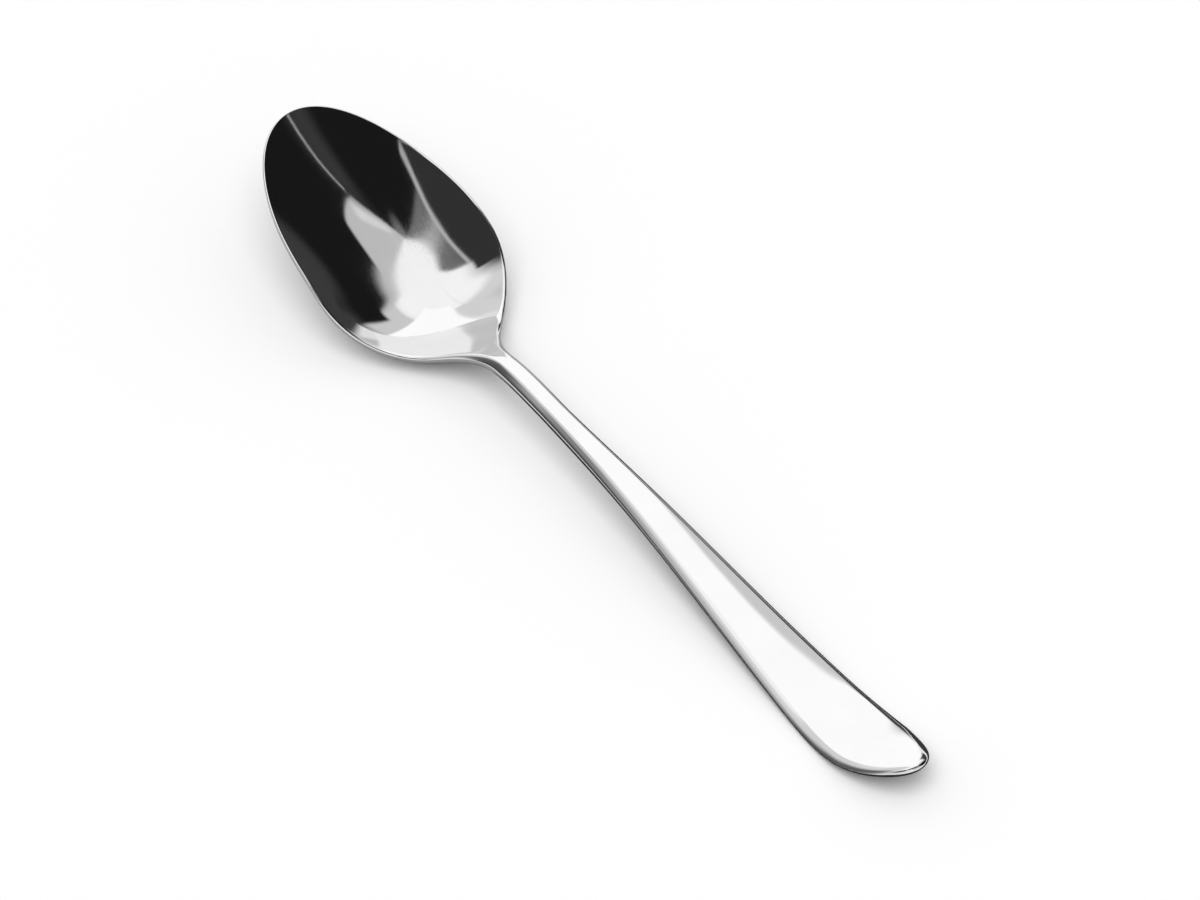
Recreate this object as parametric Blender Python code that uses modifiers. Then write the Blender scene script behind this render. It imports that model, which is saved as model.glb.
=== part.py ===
"""Soup spoon, struck from stainless steel: a drawn oval bowl and a slender, flared handle.

The spoon lies along X with its bowl towards -X, and rests on the plane z = 0 on two small flats.
A station is a distance from the bowl's tip along the spoon. Across runs from -1 to 1 over the width.
"""

import math

import bmesh
import bpy
import numpy as np

MM = 0.001

# Lengths along the spoon
LENGTH = 195.0 * MM
TIP_TO_FRONT = 20.0 * MM
TIP_TO_WIDEST = 37.2 * MM
TIP_TO_NECK = 70.2 * MM
HEEL_TO_NECK = 14.0 * MM
SHOULDER_TO_NECK = 9.5 * MM
NECK_TO_FLARE = 14.7 * MM
NECK_TO_STEM = 14.0 * MM
NECK_TO_ARCH = 38.0 * MM
REST_TO_END = 32.0 * MM
FLICK_TO_END = 11.0 * MM
END_ROUNDING = 26.8 * MM

# Widths
BOWL_WIDTH = 37.0 * MM
NECK_WIDTH = 5.2 * MM
END_WIDTH = 16.8 * MM

# Heights of the top edge, seen from the side
TIP_HEIGHT = 22.25 * MM
FRONT_HEIGHT = 16.4 * MM
WIDEST_HEIGHT = 11.5 * MM
HEEL_HEIGHT = 5.2 * MM
SHOULDER_HEIGHT = 7.2 * MM
NECK_HEIGHT = 9.9 * MM
STEM_HEIGHT = 9.8 * MM
ARCH_HEIGHT = 8.55 * MM
REST_HEIGHT = 2.0 * MM
FLICK_HEIGHT = 2.8 * MM
END_HEIGHT = 7.2 * MM

# Heights of the bowl's hollow along its middle
TIP_TO_LOWEST = 46.5 * MM
FRONT_FLOOR = 10.6 * MM
WIDEST_FLOOR = 3.6 * MM
LOWEST_FLOOR = 1.4 * MM
HEEL_FLOOR = 4.1 * MM
SHOULDER_FLOOR = 6.3 * MM

# Rise of the handle's middle over its edges
STEM_CROWN = 0.5 * MM
END_CROWN = 0.9 * MM

# Thickness of the metal
RIM_THICKNESS = 1.1 * MM
BOWL_THICKNESS = 1.4 * MM
NECK_THICKNESS = 2.4 * MM
END_THICKNESS = 1.25 * MM

# Roundness of the outline: 2 is an ellipse, less is more pointed, more is squarer
TIP_POWER = 2.0
END_POWER = 2.8

# How the bowl runs out into the neck, how the stem flares, and how steeply the bowl's walls turn up
SHOULDER_POWER = 2.2
SHOULDER_SLIMNESS = 2.75
FLARE_POWER = 1.39
WALL_POWER = 2.0

# Gap between the two pieces at the neck, spare length that is sawn off square there,
# and depth of the two flats that the spoon rests on
NECK_GAP = 0.3 * MM
NECK_SPARE = 2.0 * MM
FLAT_DEPTH = 0.15 * MM

# Mesh fineness
BOWL_ROWS = 40
BOWL_COLUMNS = 20
HANDLE_ROWS = 44
HANDLE_COLUMNS = 8
WELD_DISTANCE = 0.001 * MM

# Fineness and rounds of the search for the points that touch the table
LAY_POINTS = 400
LAY_ROUNDS = 20

# Colour and roughness of the polished steel
BOWL_COLOUR = (0.78, 0.78, 0.77, 1.0)
BOWL_ROUGHNESS = 0.06
HANDLE_COLOUR = (0.80, 0.80, 0.79, 1.0)
HANDLE_ROUGHNESS = 0.08

# The top edge from tip to end, as stations and heights
SIDE_LINE = [
    (0.0, TIP_HEIGHT),
    (TIP_TO_FRONT, FRONT_HEIGHT),
    (TIP_TO_WIDEST, WIDEST_HEIGHT),
    (TIP_TO_NECK - HEEL_TO_NECK, HEEL_HEIGHT),
    (TIP_TO_NECK - SHOULDER_TO_NECK, SHOULDER_HEIGHT),
    (TIP_TO_NECK, NECK_HEIGHT),
    (TIP_TO_NECK + NECK_TO_STEM, STEM_HEIGHT),
    (TIP_TO_NECK + NECK_TO_ARCH, ARCH_HEIGHT),
    (LENGTH - REST_TO_END, REST_HEIGHT),
    (LENGTH - FLICK_TO_END, FLICK_HEIGHT),
    (LENGTH, END_HEIGHT),
]

# The middle of the bowl's hollow from tip to neck, and on along the handle
FLOOR_LINE = [
    (0.0, TIP_HEIGHT),
    (TIP_TO_FRONT, FRONT_FLOOR),
    (TIP_TO_WIDEST, WIDEST_FLOOR),
    (TIP_TO_LOWEST, LOWEST_FLOOR),
    (TIP_TO_NECK - HEEL_TO_NECK, HEEL_FLOOR),
    (TIP_TO_NECK - SHOULDER_TO_NECK, SHOULDER_FLOOR),
] + SIDE_LINE[5:]


def clear_scene():
    for item in list(bpy.data.objects):
        bpy.data.objects.remove(item, do_unlink=True)


def smooth_line(points, stations):
    """Heights on the natural cubic spline through the points."""
    knots = np.array([point[0] for point in points])
    heights = np.array([point[1] for point in points])
    steps = np.diff(knots)
    slopes = np.diff(heights) / steps
    matrix = np.eye(len(knots))
    bends = np.zeros(len(knots))
    for i in range(1, len(knots) - 1):
        matrix[i, i - 1:i + 2] = steps[i - 1], 2 * (steps[i - 1] + steps[i]), steps[i]
        bends[i] = 6 * (slopes[i] - slopes[i - 1])
    curvature = np.linalg.solve(matrix, bends)
    span = np.clip(np.searchsorted(knots, stations) - 1, 0, len(steps) - 1)
    along = stations - knots[span]
    first = curvature[span]
    growth = (curvature[span + 1] - first) / steps[span]
    slope = slopes[span] - steps[span] * (2 * first + curvature[span + 1]) / 6
    return heights[span] + along * (slope + along * (first / 2 + along * growth / 6))


def bowl_share(station):
    """1 at the widest section of the bowl, 0 at the tip and from the neck on."""
    ahead = np.clip((TIP_TO_WIDEST - station) / TIP_TO_WIDEST, 0, 1)
    behind = np.clip((station - TIP_TO_WIDEST) / (TIP_TO_NECK - TIP_TO_WIDEST), 0, 1)
    tip_side = np.sqrt(1 - ahead ** TIP_POWER)
    shoulder_side = (1 - behind ** SHOULDER_POWER) ** SHOULDER_SLIMNESS
    return np.where(station < TIP_TO_WIDEST, tip_side, shoulder_side)


def flare_share(station):
    """0 up to the start of the flare, 1 from the middle of the rounded end on."""
    start = TIP_TO_NECK + NECK_TO_FLARE
    full = LENGTH - END_ROUNDING / 2
    return np.clip((station - start) / (full - start), 0, 1) ** FLARE_POWER


def end_share(station):
    """1 along the spoon, falling to 0 over the rounded end of the handle."""
    into_end = np.clip((station - LENGTH + END_ROUNDING) / END_ROUNDING, 0, 1)
    return np.sqrt(1 - into_end ** END_POWER)


def half_width(station):
    stem = NECK_WIDTH + (END_WIDTH - NECK_WIDTH) * flare_share(station)
    narrowest = np.where(station < TIP_TO_WIDEST, 0, stem)
    width = narrowest + (BOWL_WIDTH - narrowest) * bowl_share(station)
    return width / 2 * end_share(station)


def crown(station, across):
    """Rise of the handle over its straight edges, which fades out along the bowl's shoulders."""
    middle = STEM_CROWN + (END_CROWN - STEM_CROWN) * flare_share(station)
    fading = np.where(station < TIP_TO_WIDEST, 0, 1 - bowl_share(station))
    return middle * fading * (1 - (across * end_share(station)) ** 2)


def edge_thickness(station):
    handle = NECK_THICKNESS + (END_THICKNESS - NECK_THICKNESS) * flare_share(station)
    thinned = handle + (RIM_THICKNESS - handle) * np.sqrt(bowl_share(station))
    return np.where(station < TIP_TO_WIDEST, RIM_THICKNESS, thinned)


def thickness(station, across):
    """The bowl's floor is thicker than its rim, and the underside of the handle is flat across."""
    floor = (BOWL_THICKNESS - RIM_THICKNESS) * bowl_share(station) * (1 - across ** 2)
    return edge_thickness(station) + floor + crown(station, across)


def hollow_depth(station):
    """Depth of the bowl's middle below its rim."""
    depth = smooth_line(SIDE_LINE, station) - smooth_line(FLOOR_LINE, station)
    return np.where(station < TIP_TO_NECK, np.maximum(depth, 0), 0)


def top_height(station, across):
    hollow = hollow_depth(station) * (1 - np.abs(across) ** WALL_POWER)
    return smooth_line(SIDE_LINE, station) - hollow + crown(station, across)


def underside_height(station):
    """Height of the underside along the middle of the spoon."""
    middle = np.zeros_like(station)
    height = top_height(station, middle)
    slope = np.gradient(height, station)
    return height - thickness(station, middle) * np.sqrt(1 + slope ** 2)


def lay_on_table():
    """Tilt, and height after it, that bring both the bowl's floor and the handle down on the table."""
    bowl = np.linspace(TIP_TO_WIDEST / 2, TIP_TO_NECK, LAY_POINTS)
    handle = np.linspace(TIP_TO_NECK + NECK_TO_ARCH, LENGTH - END_ROUNDING / 2, LAY_POINTS)
    bowl_height = underside_height(bowl)
    handle_height = underside_height(handle)
    slope = 0.0
    for _ in range(LAY_ROUNDS):
        bowl_low = np.argmin(bowl_height + slope * bowl)
        handle_low = np.argmin(handle_height + slope * handle)
        slope = (bowl_height[bowl_low] - handle_height[handle_low]) / (handle[handle_low] - bowl[bowl_low])
    tilt = math.atan(slope)
    return tilt, np.min(bowl_height + slope * bowl) * math.cos(tilt)


def on_table(station, sideways, height, lay):
    """Points of the spoon in the world, with the middle of its length over the origin."""
    tilt, lowest = lay
    from_middle = station - LENGTH / 2
    x = from_middle * math.cos(tilt) - height * math.sin(tilt)
    z = station * math.sin(tilt) + height * math.cos(tilt) - lowest - FLAT_DEPTH
    return x, sideways, z


def steel(name, colour, roughness):
    material = bpy.data.materials.new(name)
    material.use_nodes = True
    shader = material.node_tree.nodes["Principled BSDF"]
    shader.inputs["Base Color"].default_value = colour
    shader.inputs["Metallic"].default_value = 1.0
    shader.inputs["Roughness"].default_value = roughness
    return material


def collection(name):
    group = bpy.data.collections.new(name)
    bpy.context.scene.collection.children.link(group)
    return group


def sheet(name, stations, columns, lay, group, material):
    """A grid over the stations, placed by the formulas above and thickened downwards."""
    rows = len(stations) - 1
    grid = bmesh.new()
    bmesh.ops.create_grid(grid, x_segments=rows, y_segments=columns, size=1.0)
    row = np.array([round((vert.co.x + 1) / 2 * rows) for vert in grid.verts])
    across = np.array([vert.co.y for vert in grid.verts])
    station = stations[row]
    places = on_table(station, across * half_width(station), top_height(station, across), lay)
    for vert, x, y, z in zip(grid.verts, *places):
        vert.co = x, y, z
    mesh = bpy.data.meshes.new(name)
    grid.to_mesh(mesh)
    grid.free()
    mesh.materials.append(material)
    mesh.shade_smooth()
    item = bpy.data.objects.new(name, mesh)
    group.objects.link(item)
    thicken(item, thickness(station, across))
    return item


def thicken(item, depths):
    """Weld the rounded ends shut, then give the sheet its thickness at each point."""
    thickest = float(depths.max())
    share = item.vertex_groups.new(name="thickness")
    for index, depth in enumerate(depths):
        share.add([index], float(depth) / thickest, "REPLACE")
    weld = item.modifiers.new("rounded_ends", "WELD")
    weld.merge_threshold = WELD_DISTANCE
    metal = item.modifiers.new("metal", "SOLIDIFY")
    metal.thickness = thickest
    metal.offset = -1.0
    metal.vertex_group = share.name


def block(name, low, high, group):
    """A box from its lowest to its highest corner, for cutting with."""
    bpy.ops.mesh.primitive_cube_add(size=1.0)
    item = bpy.context.object
    item.name = name
    item.scale = [end - start for start, end in zip(low, high)]
    item.location = [(start + end) / 2 for start, end in zip(low, high)]
    bpy.ops.object.transform_apply(location=True, rotation=False, scale=True)
    for owner in list(item.users_collection):
        owner.objects.unlink(item)
    group.objects.link(item)
    item.hide_render = True
    item.display_type = "WIRE"
    return item


def cut(item, cutter):
    trim = item.modifiers.new(cutter.name, "BOOLEAN")
    trim.operation = "DIFFERENCE"
    trim.object = cutter
    trim.solver = "EXACT"


def build():
    clear_scene()
    spoon = collection("soup_spoon")
    cutters = collection("cutters")
    lay = lay_on_table()

    # Rows crowd towards the rounded tip and towards the rounded end
    bowl_length = TIP_TO_NECK + NECK_SPARE
    bowl_steps = 1 - np.cos(np.linspace(0, math.pi / 2, BOWL_ROWS + 1))
    bowl_stations = bowl_length * bowl_steps
    handle_length = LENGTH - TIP_TO_NECK + NECK_SPARE
    handle_steps = np.sin(np.linspace(0, math.pi / 2, HANDLE_ROWS + 1))
    handle_stations = LENGTH - handle_length * (1 - handle_steps)

    bowl_steel = steel("polished_bowl_steel", BOWL_COLOUR, BOWL_ROUGHNESS)
    handle_steel = steel("polished_handle_steel", HANDLE_COLOUR, HANDLE_ROUGHNESS)
    bowl = sheet("bowl", bowl_stations, BOWL_COLUMNS, lay, spoon, bowl_steel)
    handle = sheet("handle", handle_stations, HANDLE_COLUMNS, lay, spoon, handle_steel)

    # The two pieces meet square across the neck, and both rest on the table
    neck, _, _ = on_table(TIP_TO_NECK, 0.0, NECK_HEIGHT, lay)
    bowl_end = neck - NECK_GAP / 2
    handle_start = neck + NECK_GAP / 2
    far_low = (-LENGTH, -LENGTH, -LENGTH)
    far_high = (LENGTH, LENGTH, LENGTH)
    behind_bowl = block("behind_bowl", (bowl_end, -LENGTH, -LENGTH), far_high, cutters)
    before_handle = block("before_handle", far_low, (handle_start, LENGTH, LENGTH), cutters)
    table = block("table", far_low, (LENGTH, LENGTH, 0.0), cutters)
    cut(bowl, behind_bowl)
    cut(handle, before_handle)
    cut(bowl, table)
    cut(handle, table)


build()
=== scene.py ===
"""Soup spoon of polished stainless steel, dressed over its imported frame.

The spoon lies along X with its bowl towards -X and rests on the floor, z = 0.
A station is a distance from the bowl's tip along the spoon.
"""

import math
from collections import namedtuple

import bpy
import numpy as np
from mathutils import Matrix, Vector


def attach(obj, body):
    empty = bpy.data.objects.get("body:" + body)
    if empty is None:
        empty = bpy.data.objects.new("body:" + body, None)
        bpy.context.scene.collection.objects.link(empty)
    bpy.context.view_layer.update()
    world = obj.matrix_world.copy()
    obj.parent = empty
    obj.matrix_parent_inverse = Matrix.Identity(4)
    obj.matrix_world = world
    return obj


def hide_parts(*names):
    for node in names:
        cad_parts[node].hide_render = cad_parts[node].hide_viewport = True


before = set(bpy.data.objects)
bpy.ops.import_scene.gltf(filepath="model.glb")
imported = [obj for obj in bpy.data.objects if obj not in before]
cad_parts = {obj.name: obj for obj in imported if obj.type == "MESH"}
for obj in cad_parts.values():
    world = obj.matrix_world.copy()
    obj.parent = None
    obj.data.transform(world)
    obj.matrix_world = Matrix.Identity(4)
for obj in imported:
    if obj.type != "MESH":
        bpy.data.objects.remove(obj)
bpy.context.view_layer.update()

MM = 0.001

# Lengths along the spoon
LENGTH = 195.0 * MM
TIP_TO_FRONT = 20.0 * MM
TIP_TO_WIDEST = 37.2 * MM
TIP_TO_NECK = 70.2 * MM
HEEL_TO_NECK = 14.0 * MM
SHOULDER_TO_NECK = 9.5 * MM
NECK_TO_FLARE = 14.7 * MM
NECK_TO_STEM = 14.0 * MM
NECK_TO_ARCH = 38.0 * MM
REST_TO_END = 32.0 * MM
FLICK_TO_END = 11.0 * MM
END_ROUNDING = 26.8 * MM

# Widths
BOWL_WIDTH = 38.2 * MM
NECK_WIDTH = 5.2 * MM
END_WIDTH = 16.8 * MM

# Heights of the top edge over the floor
TIP_HEIGHT = 22.25 * MM
FRONT_HEIGHT = 16.4 * MM
WIDEST_HEIGHT = 11.5 * MM
HEEL_HEIGHT = 5.2 * MM
SHOULDER_HEIGHT = 7.2 * MM
NECK_HEIGHT = 9.9 * MM
STEM_HEIGHT = 9.8 * MM
ARCH_HEIGHT = 8.55 * MM
REST_HEIGHT = 2.0 * MM
FLICK_HEIGHT = 2.8 * MM
END_HEIGHT = 7.2 * MM

# Heights of the bowl's hollow along its middle
TIP_TO_LOWEST = 46.5 * MM
FRONT_FLOOR = 10.6 * MM
WIDEST_FLOOR = 3.6 * MM
LOWEST_FLOOR = 1.4 * MM
HEEL_FLOOR = 4.1 * MM
SHOULDER_FLOOR = 6.3 * MM

# Rise of the handle's middle over its edges
STEM_CROWN = 0.5 * MM
END_CROWN = 0.9 * MM

# Thickness of the metal, and how far in from the outline its edges are rounded
RIM_THICKNESS = 1.1 * MM
BOWL_THICKNESS = 1.4 * MM
NECK_THICKNESS = 2.4 * MM
END_THICKNESS = 1.25 * MM
RIM_ROUNDING = 0.5 * MM
HANDLE_ROUNDING = 2.0 * MM

# Roundness of the outline: 2 is an ellipse, less is more pointed, more is squarer
TIP_POWER = 2.0
END_POWER = 2.8

# How the bowl runs out into the neck, how the stem flares, and how steeply the bowl's walls turn up
SHOULDER_POWER = 2.2
SHOULDER_SLIMNESS = 2.75
FLARE_POWER = 1.39
WALL_POWER = 2.0

# Polished steel: its two shades, and the cloudy traces of the buffing wheel
STEEL_BRIGHT = "#eaeaea"
STEEL_DULL = "#e4e4e4"
CLOUD_SIZE = 7.0 * MM
CLOUD_DETAIL = 2.0

# Buffing lines, drawn coarser than real ones so that they show. The steel is a mirror where the noise that
# makes them is below its clear level, and as rough as a line above its full level
LINE_LENGTH = 25.0 * MM
LINE_WIDTH = 0.25 * MM
LINE_DETAIL = 3.0
CLEAR_LEVEL = 0.35
FULL_LEVEL = 0.75
MIRROR_ROUGHNESS = 0.035
LINE_ROUGHNESS = 0.08

# Slight unevenness of the struck metal
WAVER_SIZE = 9.0 * MM
WAVER_HEIGHT = 0.02 * MM
WAVER_DETAIL = 0.0

# Mesh fineness, and the angle that makes an edge sharp, which only the cut through the neck reaches
BOWL_ROWS = 170
HANDLE_ROWS = 190
RING_POINTS = 161
WELD_DISTANCE = 0.002 * MM
SHARP_ANGLE = math.radians(60.0)

# Camera, as the photo's outline gives it, with its focal length in pixels of the photo
PHOTO_WIDTH = 1200
CAMERA_AZIMUTH = math.radians(55.043)
CAMERA_ELEVATION = math.radians(41.703)
CAMERA_ROLL = math.radians(-0.079)
CAMERA_DISTANCE = 1200.0 * MM
CAMERA_FOCUS = 6713.8
LOOK_RIGHT = 1.5697 * MM
LOOK_UP = 0.2097 * MM
LOOK_HEIGHT = 8.0 * MM
SENSOR_WIDTH = 36.0
VIEW_DEPTH = 100.0

# Light: the fill from all round and the soft key lamp add up to a floor of strength 1, which is white,
# as is the backdrop
FLOOR_SIZE = 20.0
BACKDROP_LIGHT = 1.0
FILL_LIGHT = 0.6
KEY_AZIMUTH = math.radians(-45.0)
KEY_ELEVATION = math.radians(62.0)
KEY_SPREAD = math.radians(50.0)

# Cards that only the steel sees. Two lie on the floor, a grey one under the bowl and a dark one under the
# handle, and a pale one stands beyond the bowl's tip, where in the photo's view little but the neck
# mirrors it
# These card colours are painted reflections: grey along the bowl's lower rim and underside, dark along the
# handle's edges and underside, pale on the neck
BOWL_CARD_COLOUR = "#a8a8a8"
HANDLE_CARD_COLOUR = "#3c3c3c"
NECK_CARD_COLOUR = "#dedede"
CARD_HALF_WIDTH = 60.0 * MM
CARD_HEIGHT = 0.1 * MM
BOWL_CARD_START = -110.0 * MM
BOWL_CARD_FINISH = -34.0 * MM
HANDLE_CARD_FINISH = 104.0 * MM
NECK_CARD_START = (-121.0 * MM, 36.0 * MM)
NECK_CARD_FINISH = (-113.0 * MM, 52.0 * MM)
NECK_CARD_LOW = 12.0 * MM
NECK_CARD_HIGH = 37.0 * MM

# What the steel mirrors: pale walls with darker and lighter panels, of which later ones cover earlier ones.
# Bearings and rises are in degrees. Bearing 0 is along +X, and bearings grow anticlockwise, seen from above.
# A panel's start and finish are given at the horizon, and it leans by so many degrees of bearing for each
# degree of rise. It shows to rays that have met the steel so many times or more
Panel = namedtuple("Panel", "start finish low high lean blur tone mirrors", defaults=[1])
PALE_WALLS = 0.90
PANELS = [
    # Ceiling, and the bright window that the handle's face and the back of the bowl mirror
    Panel(-180, 180, 52, 95, 0.0, 10, 1.10),
    Panel(126, 168, -5, 66, 0.0, 3, 1.20),
    # Light grey of the bowl's right shoulder, on both sides of bearing 180
    Panel(-190, -126, 26, 58, 0.0, 10, 0.78),
    Panel(170, 190, 26, 58, 0.0, 4, 0.78),
    # Soft dark along the handle's left edge, and grey along its right edge
    Panel(-165, -130, -10, 40, 0.0, 20, 0.15),
    Panel(-150, -112, -15, 24, 0.0, 28, 0.08),
    Panel(100, 126, 10, 50, 0.0, 3, 0.70),
    # Grey strip in the middle of the bowl
    Panel(0, 118, 10, 95, -0.28, 3, 0.60),
    # Dark lobe in the front of the bowl, with grey round it
    Panel(-99, 60, 60, 95, 0.0, 5, 0.18),
    Panel(-90, 62, 60, 87, 0.0, 4, 0.010),
    # Black of the bowl's left side
    Panel(120, 193, 50, 70, -1.9, 3, 0.010),
    Panel(60, 119.5, 2, 57, -0.37, 3, 0.010),
    Panel(98, 113, 4, 37, 0.0, 4, 0.010),
    # Dark of the handle's right edge and the bowl's lower left, and soft dark beside the thin line
    Panel(107, 142, -15, 17, 0.0, 10, 0.05),
    Panel(45, 62, 50, 74, 0.0, 16, 0.045),
    # Dark of the bowl's right side, and its soft rear edge
    Panel(-112, -62, 43, 64.5, 0.0, 3, 0.035),
    Panel(-124, -80, 36, 62, 0.0, 24, 0.035),
    # Pale ribbon on the right, thin line from the tip, and highlight in the middle
    Panel(-99, -72, 65, 67, 0.0, 1.5, 0.50),
    Panel(61, 62.5, 50, 67, 0.0, 1, 0.40),
    Panel(68, 77, 67, 84, 0.0, 5, 0.80),
    # Dark grey along the bowl's left rim, which mirrors the opposite wall first
    Panel(70, 114, 40, 75, 0.0, 8, 0.06, 2),
]

# The handle's top edge from neck to end, as stations and heights
HANDLE_LINE = [
    (TIP_TO_NECK, NECK_HEIGHT),
    (TIP_TO_NECK + NECK_TO_STEM, STEM_HEIGHT),
    (TIP_TO_NECK + NECK_TO_ARCH, ARCH_HEIGHT),
    (LENGTH - REST_TO_END, REST_HEIGHT),
    (LENGTH - FLICK_TO_END, FLICK_HEIGHT),
    (LENGTH, END_HEIGHT),
]

# The top edge of the whole spoon
SIDE_LINE = [
    (0.0, TIP_HEIGHT),
    (TIP_TO_FRONT, FRONT_HEIGHT),
    (TIP_TO_WIDEST, WIDEST_HEIGHT),
    (TIP_TO_NECK - HEEL_TO_NECK, HEEL_HEIGHT),
    (TIP_TO_NECK - SHOULDER_TO_NECK, SHOULDER_HEIGHT),
] + HANDLE_LINE

# The middle of the bowl's hollow, and on along the handle
FLOOR_LINE = [
    (0.0, TIP_HEIGHT),
    (TIP_TO_FRONT, FRONT_FLOOR),
    (TIP_TO_WIDEST, WIDEST_FLOOR),
    (TIP_TO_LOWEST, LOWEST_FLOOR),
    (TIP_TO_NECK - HEEL_TO_NECK, HEEL_FLOOR),
    (TIP_TO_NECK - SHOULDER_TO_NECK, SHOULDER_FLOOR),
] + HANDLE_LINE


def linear(hex_colour):
    """An sRGB hex value as the linear colour that Blender's sockets take."""
    parts = [int(hex_colour[i:i + 2], 16) / 255 for i in (1, 3, 5)]
    return [part / 12.92 if part <= 0.04045 else ((part + 0.055) / 1.055) ** 2.4 for part in parts] + [1.0]


def add(tree, kind, inputs=None, **settings):
    """Adds a node with its settings. An input is given a value, or linked where it is given a socket."""
    item = tree.nodes.new(kind)
    for name, value in settings.items():
        setattr(item, name, value)
    for socket, value in (inputs or {}).items():
        if isinstance(value, bpy.types.NodeSocket):
            tree.links.new(value, item.inputs[socket])
        else:
            item.inputs[socket].default_value = value
    return item


# The spoon's shape along its length


def smooth_line(points, stations):
    """Heights on the natural cubic spline through the points."""
    knots = np.array([point[0] for point in points])
    heights = np.array([point[1] for point in points])
    steps = np.diff(knots)
    slopes = np.diff(heights) / steps
    matrix = np.eye(len(knots))
    bends = np.zeros(len(knots))
    for i in range(1, len(knots) - 1):
        matrix[i, i - 1:i + 2] = steps[i - 1], 2 * (steps[i - 1] + steps[i]), steps[i]
        bends[i] = 6 * (slopes[i] - slopes[i - 1])
    curvature = np.linalg.solve(matrix, bends)
    span = np.clip(np.searchsorted(knots, stations) - 1, 0, len(steps) - 1)
    along = stations - knots[span]
    first = curvature[span]
    growth = (curvature[span + 1] - first) / steps[span]
    slope = slopes[span] - steps[span] * (2 * first + curvature[span + 1]) / 6
    return heights[span] + along * (slope + along * (first / 2 + along * growth / 6))


def bowl_share(station):
    """1 at the widest section of the bowl, 0 at the tip and from the neck on."""
    ahead = np.clip((TIP_TO_WIDEST - station) / TIP_TO_WIDEST, 0, 1)
    behind = np.clip((station - TIP_TO_WIDEST) / (TIP_TO_NECK - TIP_TO_WIDEST), 0, 1)
    tip_side = np.sqrt(1 - ahead ** TIP_POWER)
    shoulder_side = (1 - behind ** SHOULDER_POWER) ** SHOULDER_SLIMNESS
    return np.where(station < TIP_TO_WIDEST, tip_side, shoulder_side)


def flare_share(station):
    """0 up to the start of the flare, 1 from the middle of the rounded end on."""
    start = TIP_TO_NECK + NECK_TO_FLARE
    full = LENGTH - END_ROUNDING / 2
    return np.clip((station - start) / (full - start), 0, 1) ** FLARE_POWER


def end_share(station):
    """1 along the spoon, falling to 0 over the rounded end of the handle."""
    into_end = np.clip((station - LENGTH + END_ROUNDING) / END_ROUNDING, 0, 1)
    return np.sqrt(1 - into_end ** END_POWER)


def half_width(station):
    stem = NECK_WIDTH + (END_WIDTH - NECK_WIDTH) * flare_share(station)
    narrowest = np.where(station < TIP_TO_WIDEST, 0, stem)
    width = narrowest + (BOWL_WIDTH - narrowest) * bowl_share(station)
    return width / 2 * end_share(station)


def handle_share(station):
    """0 up to the widest section of the bowl, rising along the shoulders to 1 at the neck and on."""
    return np.where(station < TIP_TO_WIDEST, 0, 1 - bowl_share(station))


def crown(station):
    """Rise of the handle's middle over its straight edges, which fades out along the bowl's shoulders."""
    middle = STEM_CROWN + (END_CROWN - STEM_CROWN) * flare_share(station)
    return middle * handle_share(station)


def edge_thickness(station):
    handle = NECK_THICKNESS + (END_THICKNESS - NECK_THICKNESS) * flare_share(station)
    thinned = handle + (RIM_THICKNESS - handle) * np.sqrt(bowl_share(station))
    return np.where(station < TIP_TO_WIDEST, RIM_THICKNESS, thinned)


def hollow_depth(station):
    """Depth of the bowl's middle below its rim."""
    depth = smooth_line(SIDE_LINE, station) - smooth_line(FLOOR_LINE, station)
    return np.where(station < TIP_TO_NECK, np.maximum(depth, 0), 0)


def row_stations():
    """Stations of the rows from tip to end, crowded towards the rounded tip and the rounded end."""
    bowl_turn = np.linspace(0, math.pi / 2, BOWL_ROWS + 1)
    handle_turn = np.linspace(0, math.pi / 2, HANDLE_ROWS + 1)
    bowl_rows = TIP_TO_NECK * (1 - np.cos(bowl_turn))
    handle_rows = TIP_TO_NECK + (LENGTH - TIP_TO_NECK) * np.sin(handle_turn)
    return np.concatenate([bowl_rows, handle_rows[1:]])


def row_sizes():
    """Sizes of all the rows that the skin is swept through."""
    station = row_stations()
    side_crown = crown(station) * end_share(station) ** 2
    floor_extra = (BOWL_THICKNESS - RIM_THICKNESS) * bowl_share(station)
    middle = smooth_line(SIDE_LINE, station) - hollow_depth(station) + crown(station)
    return {
        "along": station - LENGTH / 2,
        "middle": middle,
        "slope": np.gradient(middle, station),
        "half_width": half_width(station),
        "spread": np.gradient(half_width(station) ** 2 / 2, station),
        "wall_rise": hollow_depth(station),
        "side_drop": side_crown,
        "metal": edge_thickness(station) + floor_extra + crown(station),
        "metal_loss": floor_extra + side_crown,
        "rounding": RIM_ROUNDING + (HANDLE_ROUNDING - RIM_ROUNDING) * handle_share(station),
    }


def piece_rows(sizes, rows, neck_place):
    """Sizes of one piece's rows, with a row shrunk to a point, first or last, that closes the neck."""
    neck = BOWL_ROWS
    shrunk = {name: 0.0 for name in sizes}
    shrunk["along"] = sizes["along"][neck]
    shrunk["middle"] = sizes["middle"][neck] - sizes["metal"][neck] / 2
    shrunk["rounding"] = sizes["rounding"][neck]
    closed = {}
    for name, values in sizes.items():
        kept = values[rows]
        place = len(kept) if neck_place == "last" else 0
        closed[name] = np.insert(kept, place, shrunk[name])
    return closed


def spine_mesh(sizes):
    """One point for each row of a skin, with the row's sizes on it."""
    mesh = bpy.data.meshes.new("spine")
    mesh.from_pydata([(place, 0.0, 0.0) for place in sizes["along"]], [], [])
    for name, values in sizes.items():
        mesh.attributes.new(name, "FLOAT", "POINT").data.foreach_set("value", values)
    return mesh


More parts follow.
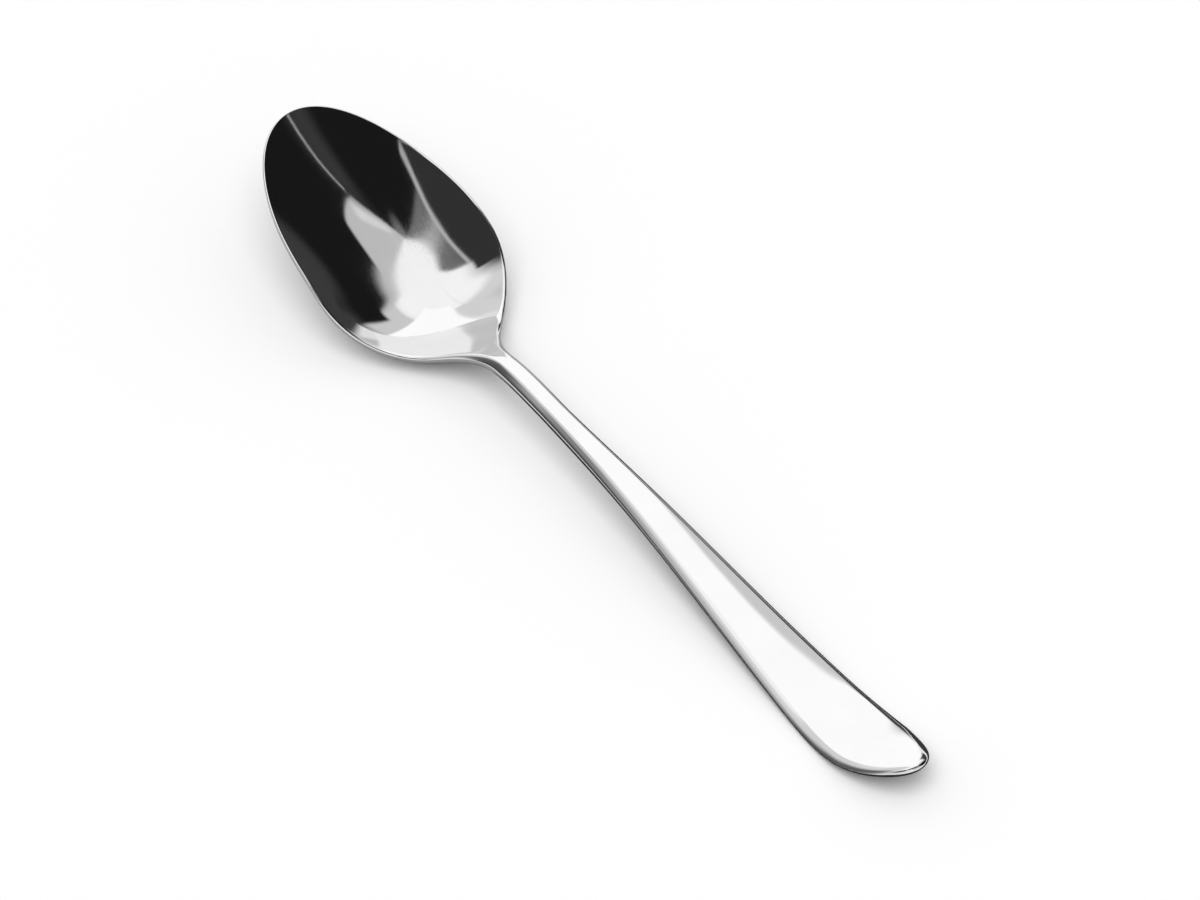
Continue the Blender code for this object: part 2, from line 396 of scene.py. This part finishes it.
# How the section's points are worked out: each step's name, what it does, and what it takes.
# Names that no step makes are sizes of the row, inputs of the tree or the point's column
SECTION_STEPS = [
    # Round the section: across is -1 and 1 at its two edges, and facing is positive on the top face
    ("last_column", "SUBTRACT", "ring_points", 1.0),
    ("part_round", "DIVIDE", "column", "last_column"),
    ("turn", "MULTIPLY", "part_round", 2 * math.pi),
    ("across", "SINE", "turn"),
    ("facing", "COSINE", "turn"),
    ("out", "ABSOLUTE", "across"),
    ("out_square", "MULTIPLY", "across", "across"),
    ("sideways", "MULTIPLY", "across", "half_width"),
    # Top face: the bowl's walls rise to the rim, and the handle falls away from its crown
    ("wall_curve", "POWER", "out", "wall_power"),
    ("wall_top", "MULTIPLY_ADD", "wall_rise", "wall_curve", "middle"),
    ("fall", "MULTIPLY", "side_drop", "out_square"),
    ("top", "SUBTRACT", "wall_top", "fall"),
    # Thickness, measured upright, so more where the face is steep
    ("climb_power", "SUBTRACT", "wall_power", 1.0),
    ("climb_curve", "POWER", "out", "climb_power"),
    ("climb_most", "MULTIPLY", "wall_rise", "wall_power"),
    ("climb", "MULTIPLY", "climb_most", "climb_curve"),
    ("some_width", "MAXIMUM", "half_width", "weld_distance"),
    ("cross_slope", "DIVIDE", "climb", "some_width"),
    ("cross_square", "MULTIPLY", "cross_slope", "cross_slope"),
    ("steepness", "MULTIPLY_ADD", "slope", "slope", "cross_square"),
    ("stretch_square", "ADD", "steepness", 1.0),
    ("stretch", "SQRT", "stretch_square"),
    ("thinning", "MULTIPLY", "metal_loss", "out_square"),
    ("metal_here", "SUBTRACT", "metal", "thinning"),
    ("upright_metal", "MULTIPLY", "metal_here", "stretch"),
    ("half_metal", "MULTIPLY", "upright_metal", 0.5),
    # Distance in from the outline, and the share of the thickness that the rounded edge leaves there
    ("width_square", "MULTIPLY", "half_width", "half_width"),
    ("sideways_square", "MULTIPLY", "sideways", "sideways"),
    ("inside", "SUBTRACT", "width_square", "sideways_square"),
    ("gradient_square", "MULTIPLY_ADD", "spread", "spread", "sideways_square"),
    ("gradient", "SQRT", "gradient_square"),
    ("some_gradient", "MAXIMUM", "gradient", "weld_distance"),
    ("twice_inward", "DIVIDE", "inside", "some_gradient"),
    ("inward", "MULTIPLY", "twice_inward", 0.5),
    ("into_edge", "DIVIDE", "inward", "rounding"),
    ("edge_passed", "MINIMUM", "into_edge", 1.0),
    ("edge_left", "SUBTRACT", 1.0, "edge_passed"),
    ("left_square", "MULTIPLY", "edge_left", "edge_left"),
    ("full_square", "SUBTRACT", 1.0, "left_square"),
    ("some_full_square", "MAXIMUM", "full_square", 0.0),
    ("full", "SQRT", "some_full_square"),
    # The top face follows the line above, and the underside lies below it by the thickness, or on the floor
    ("face", "SIGN", "facing"),
    ("part_up", "MULTIPLY", "face", "full"),
    ("part_down", "SUBTRACT", "part_up", 1.0),
    ("height", "MULTIPLY_ADD", "half_metal", "part_down", "top"),
    ("on_floor", "MAXIMUM", "height", 0.0),
]


TREE_INPUTS = {
    "Spine": "NodeSocketGeometry",
    "Ring points": "NodeSocketInt",
    "Wall power": "NodeSocketFloat",
    "Weld distance": "NodeSocketFloat",
    "Steel": "NodeSocketMaterial",
}


def row_and_column(tree, ring):
    """Which row of the grid a point is in, and which column."""
    index = add(tree, "GeometryNodeInputIndex").outputs[0]
    middle_of_point = add(tree, "ShaderNodeMath", {0: index, 1: 0.5}, operation="ADD").outputs[0]
    rows_passed = add(tree, "ShaderNodeMath", {0: middle_of_point, 1: ring}, operation="DIVIDE").outputs[0]
    row = add(tree, "ShaderNodeMath", {0: rows_passed}, operation="FLOOR").outputs[0]
    first_of_row = add(tree, "ShaderNodeMath", {0: row, 1: ring}, operation="MULTIPLY").outputs[0]
    column = add(tree, "ShaderNodeMath", {0: index, 1: first_of_row}, operation="SUBTRACT").outputs[0]
    return row, column


def section_point(tree, given, size_names):
    """Where a point of the grid goes on its row's section."""
    row, column = row_and_column(tree, given["Ring points"])
    values = {
        "ring_points": given["Ring points"],
        "wall_power": given["Wall power"],
        "weld_distance": given["Weld distance"],
        "column": column,
    }
    for name in size_names:
        size = add(tree, "GeometryNodeInputNamedAttribute", {"Name": name}).outputs[0]
        sample = {"Geometry": given["Spine"], "Value": size, "Index": row}
        values[name] = add(tree, "GeometryNodeSampleIndex", sample).outputs["Value"]
    for name, operation, *taken in SECTION_STEPS:
        inputs = {place: values.get(item, item) for place, item in enumerate(taken)}
        values[name] = add(tree, "ShaderNodeMath", inputs, operation=operation).outputs[0]
    corner = {"X": values["along"], "Y": values["sideways"], "Z": values["on_floor"]}
    return add(tree, "ShaderNodeCombineXYZ", corner).outputs[0]


def skin_tree(size_names):
    """Geometry Nodes that sweep the spoon's section along the spine: a closed ring of points for each row."""
    tree = bpy.data.node_groups.new("spoon_skin", "GeometryNodeTree")
    for name, kind in TREE_INPUTS.items():
        tree.interface.new_socket(name, in_out="INPUT", socket_type=kind)
    tree.interface.new_socket("Skin", in_out="OUTPUT", socket_type="NodeSocketGeometry")
    given = add(tree, "NodeGroupInput").outputs
    rows = add(tree, "GeometryNodeAttributeDomainSize", {0: given["Spine"]}).outputs["Point Count"]
    counts = {"Vertices X": rows, "Vertices Y": given["Ring points"]}
    grid = add(tree, "GeometryNodeMeshGrid", counts).outputs["Mesh"]
    place = section_point(tree, given, size_names)
    placed = add(tree, "GeometryNodeSetPosition", {"Geometry": grid, "Position": place}).outputs[0]
    weld = {"Geometry": placed, "Distance": given["Weld distance"]}
    closed = add(tree, "GeometryNodeMergeByDistance", weld).outputs[0]
    smooth = add(tree, "GeometryNodeSetShadeSmooth", {"Geometry": closed}).outputs[0]
    real = add(tree, "GeometryNodeRealizeInstances", {"Geometry": smooth}).outputs[0]
    coat = {"Geometry": real, "Material": given["Steel"]}
    coated = add(tree, "GeometryNodeSetMaterial", coat).outputs[0]
    add(tree, "NodeGroupOutput", {"Skin": coated})
    return tree


def skin(name, sizes, tree, steel):
    """One piece of the spoon as a closed mesh, swept through its rows."""
    spine = bpy.data.objects.new("spine", spine_mesh(sizes))
    bpy.context.scene.collection.objects.link(spine)
    sweep = spine.modifiers.new("sweep", "NODES")
    sweep.node_group = tree
    settings = {
        "Ring points": RING_POINTS,
        "Wall power": WALL_POWER,
        "Weld distance": WELD_DISTANCE,
        "Steel": steel,
    }
    for socket in tree.interface.items_tree:
        if socket.name in settings:
            sweep[socket.identifier] = settings[socket.name]
    swept = spine.evaluated_get(bpy.context.evaluated_depsgraph_get())
    mesh = bpy.data.meshes.new_from_object(swept)
    mesh.name = name
    mesh.set_sharp_from_angle(angle=SHARP_ANGLE)
    item = bpy.data.objects.new(name, mesh)
    bpy.context.scene.collection.objects.link(item)
    bpy.data.objects.remove(spine, do_unlink=True)
    return item


def polished_steel():
    """Stainless steel, drawn in a press and buffed to a mirror.

    The eye sees sharp reflections that waver a little, under a faint haze of buffing lines along the spoon.
    """
    material = bpy.data.materials.new("mirror_polished_stainless_steel")
    material.use_nodes = True
    tree = material.node_tree
    spot = add(tree, "ShaderNodeTexCoord").outputs["Object"]

    # Cloudy traces of the buffing wheel, slightly darker than the rest. Inputs 6 and 7 are the two colours
    traces = {"Vector": spot, "Scale": 1 / CLOUD_SIZE, "Detail": CLOUD_DETAIL}
    clouds = add(tree, "ShaderNodeTexNoise", traces).outputs["Fac"]
    shades = {0: clouds, 6: linear(STEEL_BRIGHT), 7: linear(STEEL_DULL)}
    colour = add(tree, "ShaderNodeMix", shades, data_type="RGBA").outputs[2]

    # Buffing lines: long noise along the spoon, fine across it
    fineness = (1 / LINE_LENGTH, 1 / LINE_WIDTH, 1 / LINE_WIDTH)
    drawn_out = add(tree, "ShaderNodeMapping", {"Vector": spot, "Scale": fineness}).outputs[0]
    strokes = {"Vector": drawn_out, "Scale": 1.0, "Detail": LINE_DETAIL}
    lines = add(tree, "ShaderNodeTexNoise", strokes).outputs["Fac"]
    haze = {
        "Value": lines,
        "From Min": CLEAR_LEVEL,
        "From Max": FULL_LEVEL,
        "To Min": MIRROR_ROUGHNESS,
        "To Max": LINE_ROUGHNESS,
    }
    roughness = add(tree, "ShaderNodeMapRange", haze).outputs[0]

    # The struck metal isn't perfectly even, so reflections waver
    waver = {"Vector": spot, "Scale": 1 / WAVER_SIZE, "Detail": WAVER_DETAIL}
    dents = add(tree, "ShaderNodeTexNoise", waver).outputs["Fac"]
    surface = add(tree, "ShaderNodeBump", {"Height": dents, "Distance": WAVER_HEIGHT}).outputs[0]

    shader = tree.nodes["Principled BSDF"]
    shader.inputs["Metallic"].default_value = 1.0
    tree.links.new(colour, shader.inputs["Base Color"])
    tree.links.new(roughness, shader.inputs["Roughness"])
    tree.links.new(surface, shader.inputs["Normal"])
    return material


def matt(name, colour):
    """A plain matt material for the floor and the cards, which aren't part of the spoon."""
    material = bpy.data.materials.new(name)
    material.use_nodes = True
    shader = material.node_tree.nodes["Principled BSDF"]
    shader.inputs["Base Color"].default_value = linear(colour)
    shader.inputs["Roughness"].default_value = 1.0
    shader.inputs["Specular IOR Level"].default_value = 0.0
    return material


def white_floor():
    bpy.ops.mesh.primitive_plane_add(size=FLOOR_SIZE)
    floor = bpy.context.object
    floor.name = "floor"
    floor.data.materials.append(matt("white_paper", "#ffffff"))


def camera():
    """The camera stands where the spoon's outline falls as it does in the photo."""
    right = Vector((math.cos(CAMERA_AZIMUTH), math.sin(CAMERA_AZIMUTH), 0.0))
    level_back = Vector((math.sin(CAMERA_AZIMUTH), -math.cos(CAMERA_AZIMUTH), 0.0))
    upward = Vector((0.0, 0.0, math.sin(CAMERA_ELEVATION)))
    back = level_back * math.cos(CAMERA_ELEVATION) + upward
    up = back.cross(right)
    target = Vector((0.0, 0.0, LOOK_HEIGHT)) + right * LOOK_RIGHT + up * LOOK_UP
    cosine = math.cos(CAMERA_ROLL)
    sine = math.sin(CAMERA_ROLL)
    turned_right = right * cosine - up * sine
    turned_up = right * sine + up * cosine
    lens = bpy.data.cameras.new("camera")
    lens.sensor_fit = "HORIZONTAL"
    lens.sensor_width = SENSOR_WIDTH
    lens.lens = CAMERA_FOCUS / PHOTO_WIDTH * SENSOR_WIDTH
    lens.clip_end = VIEW_DEPTH
    eye = bpy.data.objects.new("camera", lens)
    turn = Matrix((turned_right, turned_up, back)).transposed()
    eye.matrix_world = Matrix.Translation(target + back * CAMERA_DISTANCE) @ turn.to_4x4()
    bpy.context.scene.collection.objects.link(eye)
    bpy.context.scene.camera = eye


def panel_share(tree, panel, bearing, rise, mirrored):
    """1 where a ray meets a panel, 0 where it misses it, and shares of 1 along the panel's blurred edges."""
    lean = {0: rise, 1: -panel.lean, 2: bearing}
    upright = add(tree, "ShaderNodeMath", lean, operation="MULTIPLY_ADD").outputs[0]
    edges = [
        (upright, panel.start, 0.0, 1.0),
        (upright, panel.finish, 1.0, 0.0),
        (rise, panel.low, 0.0, 1.0),
        (rise, panel.high, 1.0, 0.0),
    ]
    # The ray's count of mirrors is whole, so it is compared with half a mirror less
    enough = {0: mirrored, 1: panel.mirrors - 0.5}
    share = add(tree, "ShaderNodeMath", enough, operation="GREATER_THAN").outputs[0]
    for angle, edge, before, beyond in edges:
        limits = {
            "Value": angle,
            "From Min": math.radians(edge - panel.blur / 2),
            "From Max": math.radians(edge + panel.blur / 2),
            "To Min": before,
            "To Max": beyond,
        }
        inside = add(tree, "ShaderNodeMapRange", limits, interpolation_type="SMOOTHSTEP").outputs[0]
        share = add(tree, "ShaderNodeMath", {0: share, 1: inside}, operation="MULTIPLY").outputs[0]
    return share


def studio():
    """The world: white for the camera, an even fill for the floor, and the studio's panels for the steel."""
    world = bpy.data.worlds.new("studio")
    world.use_nodes = True
    tree = world.node_tree
    ray = add(tree, "ShaderNodeTexCoord").outputs["Generated"]
    toward = add(tree, "ShaderNodeSeparateXYZ", {0: ray}).outputs
    bearing = add(tree, "ShaderNodeMath", {0: toward["Y"], 1: toward["X"]}, operation="ARCTAN2").outputs[0]
    rise = add(tree, "ShaderNodeMath", {0: toward["Z"]}, operation="ARCSINE").outputs[0]
    path = add(tree, "ShaderNodeLightPath").outputs
    tone = PALE_WALLS
    for panel in PANELS:
        share = panel_share(tree, panel, bearing, rise, path["Glossy Depth"])
        tone = add(tree, "ShaderNodeMix", {"Factor": share, "A": tone, "B": panel.tone}).outputs["Result"]
    to_steel = {"Factor": path["Is Glossy Ray"], "A": FILL_LIGHT, "B": tone}
    lit = add(tree, "ShaderNodeMix", to_steel).outputs["Result"]
    to_camera = {"Factor": path["Is Camera Ray"], "A": lit, "B": BACKDROP_LIGHT}
    level = add(tree, "ShaderNodeMix", to_camera).outputs["Result"]
    background = tree.nodes["Background"]
    background.inputs["Color"].default_value = linear("#ffffff")
    tree.links.new(level, background.inputs["Strength"])
    bpy.context.scene.world = world


def lying(start, finish):
    """Corners of a card on the floor between two places along the spoon."""
    return [
        (start, -CARD_HALF_WIDTH, CARD_HEIGHT),
        (finish, -CARD_HALF_WIDTH, CARD_HEIGHT),
        (finish, CARD_HALF_WIDTH, CARD_HEIGHT),
        (start, CARD_HALF_WIDTH, CARD_HEIGHT),
    ]


def standing(start, finish, low, high):
    """Corners of an upright card over the line between two points on the floor."""
    return [(*start, low), (*finish, low), (*finish, high), (*start, high)]


def mirrored_card(name, colour, corners):
    """A card that shows in the steel and nowhere else, as a painted reflection."""
    mesh = bpy.data.meshes.new(name)
    mesh.from_pydata(corners, [], [(0, 1, 2, 3)])
    mesh.materials.append(matt(name, colour))
    item = bpy.data.objects.new(name, mesh)
    bpy.context.scene.collection.objects.link(item)
    item.visible_camera = False
    item.visible_diffuse = False
    item.visible_transmission = False
    item.visible_shadow = False


def key_light():
    """A large soft lamp high on the camera's side, which keeps the faint shadow close under the spoon."""
    lamp = bpy.data.lights.new("key", "SUN")
    lamp.energy = (1.0 - FILL_LIGHT) * math.pi / math.sin(KEY_ELEVATION)
    lamp.angle = KEY_SPREAD
    item = bpy.data.objects.new("key", lamp)
    item.rotation_euler = 0.0, math.pi / 2 - KEY_ELEVATION, KEY_AZIMUTH
    item.visible_glossy = False
    bpy.context.scene.collection.objects.link(item)


bpy.context.scene.view_settings.view_transform = "Standard"
camera()
studio()
key_light()
white_floor()
# Painted reflections: the cards put grey, dark and pale tones into the steel and show nowhere else
mirrored_card("grey_card", BOWL_CARD_COLOUR, lying(BOWL_CARD_START, BOWL_CARD_FINISH))
mirrored_card("dark_card", HANDLE_CARD_COLOUR, lying(BOWL_CARD_FINISH, HANDLE_CARD_FINISH))
neck_card = standing(NECK_CARD_START, NECK_CARD_FINISH, NECK_CARD_LOW, NECK_CARD_HIGH)
mirrored_card("pale_card", NECK_CARD_COLOUR, neck_card)

# The bowl and the handle meet at the neck without a visible seam
steel = polished_steel()
sizes = row_sizes()
tree = skin_tree(list(sizes))
pieces = [
    ("bowl", slice(0, BOWL_ROWS + 1), "last"),
    ("handle", slice(BOWL_ROWS, None), "first"),
]
for node, rows, neck_place in pieces:
    piece = skin(node + "_skin", piece_rows(sizes, rows, neck_place), tree, steel)
    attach(piece, "root")
    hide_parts(node)
